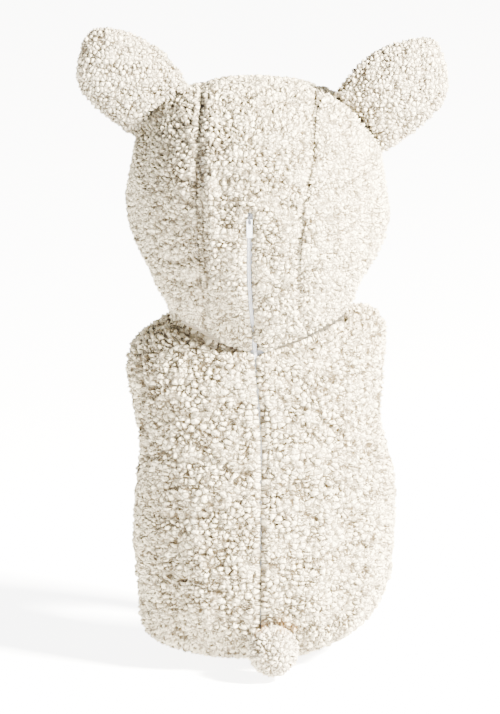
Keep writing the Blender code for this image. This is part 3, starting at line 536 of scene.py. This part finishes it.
HOOD_RIGHT_CREASES = (
    ("behind", 3.0, 1.8, RIGHT_SEAM),
    ("behind", 8.0, -2.4, HOOD_BAG),
    ("behind", 4.0, 1.2, ((-40.0, 30.0), (-56.0, 24.0), (-72.0, 28.0))),
    ("behind", 3.0, 0.9, ((-46.0, 84.0), (-64.0, 80.0), (-84.0, 84.0))),
    ("right", 5.0, 1.3, ((42.0, 36.0), (8.0, 28.0), (-28.0, 36.0))),
    ("right", 5.0, 1.1, ((30.0, 8.0), (0.0, 4.0), (-32.0, 10.0))),
)
hood_side_right = merged_copy("hood_side_right_fleece", ["hood_side_right"])
smooth_wall(hood_side_right, CLOTH_GRAIN)
press(hood_side_right, HOOD_RIGHT_CREASES, HOOD_INSIDE)
raise_pile(hood_side_right, HOOD_INSIDE, hood_fleece, HOOD_NUB, 17.9)
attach(hood_side_right, "costume")
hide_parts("hood_side_right")


# ---------------------------------------------------------------------------
# Ears. Each is a front and a back piece of the same fleece, sewn round the edge, turned out, stuffed, and
# sewn into the hood's side panel, which pulls a sunken fold round its base, darkened there with painted
# shade.

EAR_GRAIN = 0.0012
EAR_FILL_GRID = 0.0045
EAR_MOST_SWELL = 0.0022
EAR_NUB = 0.0043
EAR_FIBRE = 640.0
EAR_CREAM = (0.86, 0.76, 0.565)
EAR_CREAM_COOL = (0.80, 0.71, 0.53)
EAR_INSIDE = {
    "left": ((0.095, 0.003, 0.188), (0.137, 0.003, 0.238)),
    "right": ((-0.097, 0.017, 0.178), (-0.139, 0.017, 0.230)),
}
EAR_ROOT = 0.024             # from the ear's inner line down to its root in the hood
EAR_ROOT_FADE = 0.034        # height over which the root's sinking runs out
EAR_ROOT_SUNK = 0.006
EAR_CORNER_SUNK = 2.2        # by which the root's lower corner sinks further, as a share
EAR_DRAWN_OUT = 0.01         # by which the filling draws the ear out, as a share of its length
EAR_LOWER_EDGE = 0.12        # by which it widens the lower edge, as a share
EAR_TIP_TRIM = 0.46          # share of the upper edge that the tip loses, so that it comes to a blunt point
EAR_TIP_TRIM_BELOW = 0.34    # the same of the lower edge
EAR_POINT = 0.007            # by which that point stands out further
EAR_POINT_PLACE = 0.010      # how far it lies toward the lower edge
EAR_POINT_WIDE = 0.036
EAR_ROOT_SHADE = 0.9
FILLING_FRAMES = 20
SEWN_WITHIN = 0.8            # points this share of the grid from both halves are on the seam


def stuff(piece, halves, most):
    """Fills the sewn shell: a short cloth simulation under inner pressure, held at the seam."""
    shell = piece.modifiers.new("shell", "REMESH")
    shell.mode = "VOXEL"
    shell.voxel_size = EAR_FILL_GRID
    settle(piece)
    places, facing = read_points(piece)
    trees = []
    for half in halves:
        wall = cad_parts[half].data
        corners = [vertex.co for vertex in wall.vertices]
        trees.append(BVHTree.FromPolygons(corners, [face.vertices for face in wall.polygons]))
    seam = piece.vertex_groups.new(name="seam")
    for index, place in enumerate(places):
        reach = max((tree.find_nearest(Vector(place))[3] for tree in trees), default=1.0)
        if reach < EAR_FILL_GRID * SEWN_WITHIN:
            seam.add([index], 1.0, "REPLACE")
    cloth = piece.modifiers.new("filling", "CLOTH")
    cloth.settings.quality = 6
    cloth.settings.mass = 0.2
    cloth.settings.tension_stiffness = 18
    cloth.settings.compression_stiffness = 18
    cloth.settings.bending_stiffness = 1.5
    cloth.settings.use_pressure = True
    cloth.settings.uniform_pressure_force = 4.0
    cloth.settings.effector_weights.gravity = 0.0
    if halves:
        cloth.settings.vertex_group_mass = "seam"
    cloth.point_cache.frame_start = 1
    cloth.point_cache.frame_end = FILLING_FRAMES
    for number in range(1, FILLING_FRAMES + 1):
        bpy.context.scene.frame_set(number)
    settle(piece)
    bpy.context.scene.frame_set(1)
    filled, facing = read_points(piece)
    moved = filled - places
    far = np.linalg.norm(moved, axis=1)
    places = places + moved * np.minimum(1.0, most / np.maximum(far, TINY))[:, None]
    write_points(piece, places)
    piece.vertex_groups.clear()
    return piece


def round_off(piece, grain):
    rounding = piece.modifiers.new("rounding", "SUBSURF")
    rounding.levels = rounding.render_levels = 1
    even = piece.modifiers.new("even", "REMESH")
    even.mode = "VOXEL"
    even.voxel_size = grain
    return settle(piece)


ear_fleece = fleece_material(
    "cream sherpa fleece, ears", EAR_CREAM, EAR_CREAM_COOL, ROOT_TAN_AND_SHADE, EAR_FIBRE, 0.3
)
for side, seed in (("left", 23.5), ("right", 31.2)):
    halves = [f"ear_{side}_back", f"ear_{side}_front"]
    ear = merged_copy(f"ear_{side}_stuffed", halves)
    stuff(ear, halves, EAR_MOST_SWELL)
    round_off(ear, EAR_GRAIN)
    places, facing = read_points(ear)
    foot, tip = np.array(EAR_INSIDE[side][0]), np.array(EAR_INSIDE[side][1])
    axis = (tip - foot) / np.linalg.norm(tip - foot)
    from_root = (places - foot) @ axis + EAR_ROOT
    from_base = np.clip(from_root / EAR_ROOT_FADE, 0, 1)
    across = np.array([axis[2], 0.0, -axis[0]]) * (1 if side == "left" else -1)   # toward the lower edge
    aside = (places - foot) @ across
    lower, upper = np.maximum(aside, 0), np.maximum(-aside, 0)
    sunk = EAR_ROOT_SUNK * (1 - from_base) * (1 + EAR_CORNER_SUNK * lower / lower.max())
    drawn = EAR_DRAWN_OUT * np.clip(from_root, 0, None) - sunk
    toward_tip = np.clip(from_root / from_root.max() * 2 - 1, 0, 1) ** 2
    spread = (EAR_LOWER_EDGE - EAR_TIP_TRIM_BELOW * toward_tip) * lower + EAR_TIP_TRIM * upper * toward_tip
    point = np.clip(1 - (np.abs(aside - EAR_POINT_PLACE) / EAR_POINT_WIDE) ** 2, 0, 1)
    drawn = drawn + EAR_POINT * toward_tip * point
    places = places + drawn[:, None] * axis + spread[:, None] * across
    write_points(ear, places)
    # Painted shade at the sunken root, written into the same mark as the pressed troughs.
    mark = ear.data.attributes.new("crease_shade", "FLOAT", "POINT")
    ear_root_shade = EAR_ROOT_SHADE * (1 - np.clip(from_base * 2.2, 0, 1))
    mark.data.foreach_set("value", ear_root_shade.astype(np.float32))
    raise_pile(
        ear, EAR_INSIDE[side], ear_fleece, EAR_NUB, seed, nub_height=0.0026, curl_height=0.0010, lift=0.0014,
        edge_lift=0.0014, all_round=1.0, rows=1.0,
    )
    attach(ear, "costume")
    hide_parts(*halves)


# ---------------------------------------------------------------------------
# Back, left and right halves. Two mirrored panels of deeper-piled fleece joined down the middle by the zip,
# then by a short seam under the seat; the armhole and leg edges are turned in as hems.

BODY_NUB = 0.0064
BODY_INSIDE = ((0.0, 0.010, -0.235), (0.0, 0.008, -0.070))
BODY_FIBRE = 520.0
body_fleece = fleece_material("cream sherpa fleece, body", CREAM, CREAM_COOL, ROOT_TAN_AND_SHADE, BODY_FIBRE, 1.0)

ZIP_IN_BACK = (
    (4.1, -30.7), (2.8, -50.2), (2.8, -76.3), (1.4, -101.4), (0.6, -159.0), (-0.9, -242.7), (-0.9, -320.0)
)
# Brown painted shade under the hood's edge at the zip and round the tail's join.
BROWN_SHADE_BY_THE_ZIP = (
    ((0.0, 94.0, -63.0), 3.6, 0.8),
    ((-4.0, 99.0, -288.0), 5.0, 0.75),
    ((-20.0, 100.0, -286.0), 7.0, 0.7),
    ((-30.0, 100.0, -290.0), 5.0, 0.6),
)
ZIP_CLOSING = 2.1    # mm by which the pile on each side leans over the zip, and rises there
ZIP_RISE = 0.9
NECK_TUCK_LEFT = ((84.0, -24.0), (44.0, -41.0), (22.0, -47.5))
NECK_TUCK_RIGHT = ((-14.0, -51.5), (-34.0, -50.0), (-70.0, -30.0))
BACK_LEFT_CREASES = (
    ("behind", 4.5, 2.8, NECK_TUCK_LEFT),
    ("behind", 2.0, 3.4, ((115.0, -42.0), (112.0, -70.0), (110.0, -100.0), (108.0, -135.0), (105.0, -167.0))),
    ("behind", 2.6, 2.6, ((104.0, -30.0), (84.0, -22.0), (66.0, -22.0))),
    ("behind", 3.0, 2.4, ((84.0, -152.0), (58.0, -148.0), (36.0, -154.0))),
    ("behind", 2.4, 2.4, ((96.0, -112.0), (70.0, -106.0), (40.0, -110.0))),
    ("behind", 3.4, 2.4, ((104.0, -196.0), (80.0, -204.0), (50.0, -200.0))),
    ("behind", 3.4, 2.0, ((96.0, -250.0), (64.0, -262.0), (30.0, -262.0))),
    ("behind", 2.4, 2.2, ((60.0, -60.0), (36.0, -66.0), (18.0, -60.0))),
    ("left", 5.0, 1.6, ((62.0, -190.0), (30.0, -196.0), (-10.0, -190.0))),
    ("left", 5.0, 1.4, ((58.0, -232.0), (24.0, -240.0), (-16.0, -236.0))),
)
back_left = merged_copy("back_left_fleece", ["back_left"])
smooth_wall(back_left, CLOTH_GRAIN)
press(back_left, BACK_LEFT_CREASES, BODY_INSIDE)
brown(back_left, BROWN_SHADE_BY_THE_ZIP)
close_over(back_left, ZIP_IN_BACK, ZIP_CLOSING, ZIP_RISE)
raise_pile(back_left, BODY_INSIDE, body_fleece, BODY_NUB, 41.7, nub_height=0.0040, curl_height=0.0015)
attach(back_left, "costume")
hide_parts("back_left")

BACK_RIGHT_CREASES = (
    ("behind", 4.5, 2.6, NECK_TUCK_RIGHT),
    ("behind", 2.0, 2.4, ((-106.0, -60.0), (-106.0, -100.0), (-108.0, -140.0), (-110.0, -175.0))),
    ("behind", 3.0, 2.2, ((-62.0, -12.0), (-84.0, -20.0), (-106.0, -22.0))),
    ("behind", 2.4, 2.2, ((-16.0, -120.0), (-44.0, -116.0), (-76.0, -122.0))),
    ("behind", 2.6, 2.2, ((-20.0, -176.0), (-56.0, -172.0), (-92.0, -180.0))),
    ("behind", 3.4, 2.0, ((-30.0, -246.0), (-64.0, -240.0), (-98.0, -228.0))),
    ("right", 5.0, 1.5, ((60.0, -186.0), (26.0, -194.0), (-12.0, -188.0))),
    ("right", 5.0, 1.3, ((56.0, -230.0), (22.0, -240.0), (-14.0, -236.0))),
)
back_right = merged_copy("back_right_fleece", ["back_right"])
smooth_wall(back_right, CLOTH_GRAIN)
press(back_right, BACK_RIGHT_CREASES, BODY_INSIDE)
brown(back_right, BROWN_SHADE_BY_THE_ZIP)
close_over(back_right, ZIP_IN_BACK, ZIP_CLOSING, ZIP_RISE)
raise_pile(back_right, BODY_INSIDE, body_fleece, BODY_NUB, 53.3, nub_height=0.0038, curl_height=0.0015)
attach(back_right, "costume")
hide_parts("back_right")


# ---------------------------------------------------------------------------
# Front, one panel of the same fleece from the neck seam to the crotch, with the leg openings at its lower
# corners; the seated pose folds it across the lap.

FRONT_CREASES = (
    ("front", 5.0, 2.0, ((-70.0, -196.0), (-30.0, -204.0), (20.0, -202.0), (66.0, -194.0))),
    ("front", 5.0, 1.6, ((-64.0, -160.0), (-20.0, -166.0), (40.0, -160.0))),
    ("front", 4.0, 1.3, ((-50.0, -110.0), (0.0, -116.0), (48.0, -108.0))),
    ("front", 4.0, 1.2, ((-30.0, -60.0), (10.0, -66.0), (44.0, -58.0))),
    ("front", 3.0, 1.4, ((-40.0, -232.0), (-10.0, -240.0), (24.0, -236.0))),
)
front = merged_copy("front_fleece", ["front"])
smooth_wall(front, CLOTH_GRAIN)
press(front, FRONT_CREASES, BODY_INSIDE)
raise_pile(front, BODY_INSIDE, body_fleece, BODY_NUB, 67.1, nub_height=0.0038, curl_height=0.0015)
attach(front, "costume")
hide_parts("front")


# ---------------------------------------------------------------------------
# Tail. A stuffed ball of the fleece, gathered at its base and sewn on under the zip's lower end; brown
# painted shade lies where it meets the seat.

# Brown painted shade on the tail where it meets the seat.
TAIL_BROWN_SHADE = (
    ((2.0, 112.0, -286.0), 6.0, 0.8), ((-22.0, 112.0, -286.0), 6.0, 0.5), ((16.0, 104.0, -306.0), 7.0, 0.6)
)
TAIL_MOST_SWELL = 0.0010
TAIL_NUB = 0.0052
tail_low, tail_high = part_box("tail")
tail_middle = (tail_low + tail_high) / 2
tail = merged_copy("tail_ball", ["tail"])
stuff(tail, [], TAIL_MOST_SWELL)
round_off(tail, EAR_GRAIN)
brown(tail, TAIL_BROWN_SHADE)
tail_inside = (tuple(tail_middle), tuple(tail_middle + Vector((0, 0, 0.002))))
raise_pile(
    tail, tail_inside, ear_fleece, TAIL_NUB, 71.9, nub_height=0.0030, curl_height=0.0012,
    lift=0.0012, edge_lift=0.0012, all_round=1.0, rows=1.0,
)
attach(tail, "costume")
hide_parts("tail")


# ---------------------------------------------------------------------------
# Zip. Two woven polyester tapes sewn to the fleece edges, closed by a spiral coil; the metal slider has run
# to the top, where two stops hold it, and its pull tab hangs on the slider's crown.

# The tape is white; its grey colour is painted shade beside the coil.
TAPE_GREYED_BY_SHADE = (0.40, 0.41, 0.45)
COIL_WHITE = (0.84, 0.85, 0.88)
COIL_SHADOW = (0.16, 0.165, 0.18)
TAPE_WEAVE = 900.0
COIL_RIBS = 1400.0


def plain_weave(name, colour, scale):
    material, tree = bare_material(name)
    place = add_node(tree, "ShaderNodeTexCoord").outputs["Object"]
    threads = {"Vector": place, "Scale": scale, "Distortion": 0.6}
    ribs, cross = (
        add_node(tree, "ShaderNodeTexWave", threads, bands_direction=way).outputs["Fac"] for way in ("Z", "X")
    )
    weave = maths(tree, "MULTIPLY", ribs, cross)
    tone = eased(tree, weave, 0.0, 1.0, 0.86, 1.0)
    shares = {i: maths(tree, "MULTIPLY", tone, colour[i]) for i in range(3)}
    shade = add_node(tree, "ShaderNodeCombineColor", shares).outputs[0]
    bump = add_node(tree, "ShaderNodeBump", {"Strength": 0.5, "Distance": 0.0003, "Height": weave})
    inputs = {"Base Color": shade, "Normal": bump.outputs["Normal"]}
    shader = add_node(tree, "ShaderNodeBsdfPrincipled", inputs)
    shader.inputs["Roughness"].default_value = 0.62
    shader.inputs["Sheen Weight"].default_value = 0.15
    add_node(tree, "ShaderNodeOutputMaterial", {"Surface": shader.outputs["BSDF"]})
    return material


tape_cloth = plain_weave("white woven zip tape", TAPE_GREYED_BY_SHADE, TAPE_WEAVE)
for side in ("left", "right"):
    tape = merged_copy(f"zip_tape_{side}_woven", [f"zip_tape_{side}"])
    edge = tape.modifiers.new("edge", "SUBSURF")
    edge.subdivision_type = "SIMPLE"
    edge.levels = edge.render_levels = 1
    settle(tape)
    tape.data.materials.append(tape_cloth)
    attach(tape, "costume")
    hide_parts(f"zip_tape_{side}")

COIL_PITCH = 0.0014
COIL_TOOTH = (0.00074, 0.00060, 0.00062)   # half sizes of one turn of the spiral
COIL_ROW = 0.00062                         # from the zip's middle to the middle of each row of turns
COIL_PROUD = 0.0006                        # how far the turns stand out of the coil's core
CORE_CORNERS = 6                           # points in each cross-section of the solid coil


def coil_tree(name):
    """Geometry nodes that lay the turns of a closed coil in two rows along a path."""
    tree = bpy.data.node_groups.new(name, "GeometryNodeTree")
    face = tree.interface
    face.new_socket("Path", in_out="INPUT", socket_type="NodeSocketGeometry")
    for label, kind, given in (
        ("Pitch", "NodeSocketFloat", COIL_PITCH),
        ("Row offset", "NodeSocketFloat", COIL_ROW),
        ("Turn size", "NodeSocketVector", COIL_TOOTH),
        ("Nylon", "NodeSocketMaterial", None),
    ):
        socket = face.new_socket(label, in_out="INPUT", socket_type=kind)
        if given is not None:
            socket.default_value = given
    face.new_socket("Coil", in_out="OUTPUT", socket_type="NodeSocketGeometry")
    given = add_node(tree, "NodeGroupInput").outputs
    curve = add_node(tree, "GeometryNodeMeshToCurve", {"Mesh": given["Path"]}).outputs[0]
    spaced = {"Curve": curve, "Length": given["Pitch"]}
    even = add_node(tree, "GeometryNodeResampleCurve", spaced, mode="LENGTH").outputs[0]
    round_turn = {"Segments": 6, "Rings": 4, "Radius": 1.0}
    ball = add_node(tree, "GeometryNodeMeshUVSphere", round_turn).outputs["Mesh"]
    turn = add_node(tree, "GeometryNodeTransform", {"Geometry": ball, "Scale": given["Turn size"]}).outputs[0]
    tangent = add_node(tree, "GeometryNodeInputTangent").outputs[0]
    along = add_node(tree, "FunctionNodeAlignRotationToVector", {"Vector": tangent}, axis="Z").outputs[0]
    laid = add_node(tree, "GeometryNodeJoinGeometry")
    for row in (-1.0, 1.0):
        aside = maths(tree, "MULTIPLY", given["Row offset"], row)
        across = add_node(tree, "ShaderNodeCombineXYZ", {0: aside}).outputs[0]
        half_step = vector_maths(tree, "SCALE", tangent, maths(tree, "MULTIPLY", given["Pitch"], 0.25 * row))
        offset = vector_maths(tree, "ADD", across, half_step)
        moved = add_node(tree, "GeometryNodeSetPosition", {"Geometry": even, "Offset": offset}).outputs[0]
        on_points = {"Points": moved, "Instance": turn, "Rotation": along}
        turns = add_node(tree, "GeometryNodeInstanceOnPoints", on_points).outputs[0]
        tree.links.new(turns, laid.inputs[0])
    smooth = add_node(tree, "GeometryNodeSetShadeSmooth", {"Geometry": laid.outputs[0]}).outputs[0]
    whole = add_node(tree, "GeometryNodeRealizeInstances", {"Geometry": smooth}).outputs[0]
    covered = {"Geometry": whole, "Material": given["Nylon"]}
    dressed = add_node(tree, "GeometryNodeSetMaterial", covered).outputs[0]
    add_node(tree, "NodeGroupOutput", {"Coil": dressed})
    return tree


coil_nylon = plain_weave("white nylon coil", COIL_WHITE, COIL_RIBS)
core = merged_copy("zip_coil_core", ["zip_coil"])
points, facing = read_points(core)
order = np.argsort(-points[:, 2])
sections = [points[order[i:i + CORE_CORNERS]] for i in range(0, len(order), CORE_CORNERS)]
middle_line = [tuple(section.mean(0) + np.array([0.0, COIL_PROUD, 0.0])) for section in sections]
path_mesh = bpy.data.meshes.new("zip_coil_turns")
path_mesh.from_pydata(middle_line, [(i, i + 1) for i in range(len(middle_line) - 1)], [])
coil = bpy.data.objects.new("zip_coil_turns", path_mesh)
bpy.context.scene.collection.objects.link(coil)
laying = coil.modifiers.new("turns", "NODES")
laying.node_group = coil_tree("coil turns")
give_inputs(
    laying, {"Pitch": COIL_PITCH, "Row offset": COIL_ROW, "Turn size": COIL_TOOTH, "Nylon": coil_nylon}
)
settle(coil)
core.data.materials.append(plain_weave("zip coil edge, in shadow", COIL_SHADOW, TAPE_WEAVE))
for piece in (coil, core):
    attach(piece, "costume")
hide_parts("zip_coil")
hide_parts("zip_coil")

METAL_WEAR = 700.0
METAL_EDGE = 0.00018


def plated_metal(name, dull, bright):
    material, tree = bare_material(name)
    place = add_node(tree, "ShaderNodeTexCoord").outputs["Object"]
    wear = noise_at(tree, place, METAL_WEAR, 3.0)
    tone = blended(tree, wear, (*dull, 1), (*bright, 1))
    bump = add_node(tree, "ShaderNodeBump", {"Strength": 0.15, "Distance": 0.0001, "Height": wear})
    gloss = eased(tree, wear, 0.3, 0.7, 0.24, 0.42)
    inputs = {"Base Color": tone, "Normal": bump.outputs["Normal"], "Roughness": gloss}
    shader = add_node(tree, "ShaderNodeBsdfPrincipled", inputs)
    shader.inputs["Metallic"].default_value = 1.0
    add_node(tree, "ShaderNodeOutputMaterial", {"Surface": shader.outputs["BSDF"]})
    return material


metal = plated_metal("nickel-plated zinc", (0.50, 0.52, 0.55), (0.78, 0.79, 0.81))
# The slider and its stops are silver; their near-black colour is painted shade and dark reflection, with real
# wear mottling on top.
slider_metal_shaded_dark = plated_metal("worn zinc slider, darkened by painted shade", (0.035, 0.035, 0.038), (0.14, 0.145, 0.155))
for node, body, plating in (
    ("zip_slider", "costume", slider_metal_shaded_dark),
    ("zip_pull", "pull_tab", metal),
    ("zip_top_stop_left", "costume", slider_metal_shaded_dark),
    ("zip_top_stop_right", "costume", slider_metal_shaded_dark),
):
    part = merged_copy(f"{node}_cast", [node])
    rounded = part.modifiers.new("rounded edges", "BEVEL")
    rounded.width = METAL_EDGE
    rounded.segments = 2
    settle(part)
    part.data.materials.append(plating)
    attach(part, body)
    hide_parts(node)


# ---------------------------------------------------------------------------
# Studio: a pale floor that glows a little, a key light from above on the viewer's right, a wide faint fill,
# and the camera behind the costume, slightly above it, far off with a long lens.

FLOOR_HALF = 14.0
FLOOR_BELOW = 0.004
FLOOR_GLOW = 6.0
floor_mesh = bpy.data.meshes.new("floor")
floor_plan = bmesh.new()
bmesh.ops.create_grid(floor_plan, x_segments=4, y_segments=4, size=FLOOR_HALF)
floor_plan.to_mesh(floor_mesh)
floor_plan.free()
floor = bpy.data.objects.new("floor", floor_mesh)
floor.location.z = size_at_load[0].z - FLOOR_BELOW
bpy.context.scene.collection.objects.link(floor)
floor_paint = bpy.data.materials.new("pale floor")
floor_paint.use_nodes = True
paint = floor_paint.node_tree.nodes["Principled BSDF"].inputs
paint["Base Color"].default_value = (0.9, 0.9, 0.9, 1)
paint["Roughness"].default_value = 0.9
paint["Emission Color"].default_value = (1.0, 1.0, 1.0, 1)
paint["Emission Strength"].default_value = FLOOR_GLOW
floor_mesh.materials.append(floor_paint)

world = bpy.data.worlds.new("studio")
world.use_nodes = True
sky = world.node_tree
direction = add_node(sky, "ShaderNodeTexCoord").outputs["Generated"]
toward_backdrop = vector_maths(sky, "DOT_PRODUCT", direction, (0.0, -1.0, 0.0))
sky.links.new(eased(sky, toward_backdrop, -0.1, 0.9, 0.9, 3.2), sky.nodes["Background"].inputs["Strength"])
sky.nodes["Background"].inputs["Color"].default_value = (1.0, 1.0, 1.0, 1)
bpy.context.scene.world = world

LAMPS_AIM = Vector((0, 0, -0.05))
for name, place, size, power, colour in (
    ("key", (-2.1, 1.2, 1.5), 0.5, 2600.0, (1.0, 0.955, 0.86)),
    ("fill", (1.6, 2.0, 0.3), 1.6, 16.0, (1.0, 0.97, 0.90)),
):
    light = bpy.data.lights.new(name, "AREA")
    light.size = size
    light.energy = power
    light.color = colour
    lamp = bpy.data.objects.new(name, light)
    lamp.location = place
    lamp.rotation_euler = (LAMPS_AIM - Vector(place)).to_track_quat("-Z", "Y").to_euler()
    bpy.context.scene.collection.objects.link(lamp)

CAMERA_AWAY = 12.0
LENS = 650.4         # mm, so that one pixel of the 714 px high frame is 0.93 mm at the costume
SENSOR = 36.0
# The camera looks at this point, the middle of the frame.
AIM = Vector((0.0102, 0.0, -0.0546))
back = Vector((0.0, math.cos(VIEW_TILT), math.sin(VIEW_TILT)))
lens = bpy.data.cameras.new("camera")
lens.sensor_fit = "VERTICAL"
lens.sensor_height = SENSOR
lens.lens = LENS
camera = bpy.data.objects.new("camera", lens)
camera.location = AIM + back * CAMERA_AWAY
camera.rotation_euler = (-back).to_track_quat("-Z", "Y").to_euler()
bpy.context.scene.collection.objects.link(camera)
bpy.context.scene.camera = camera
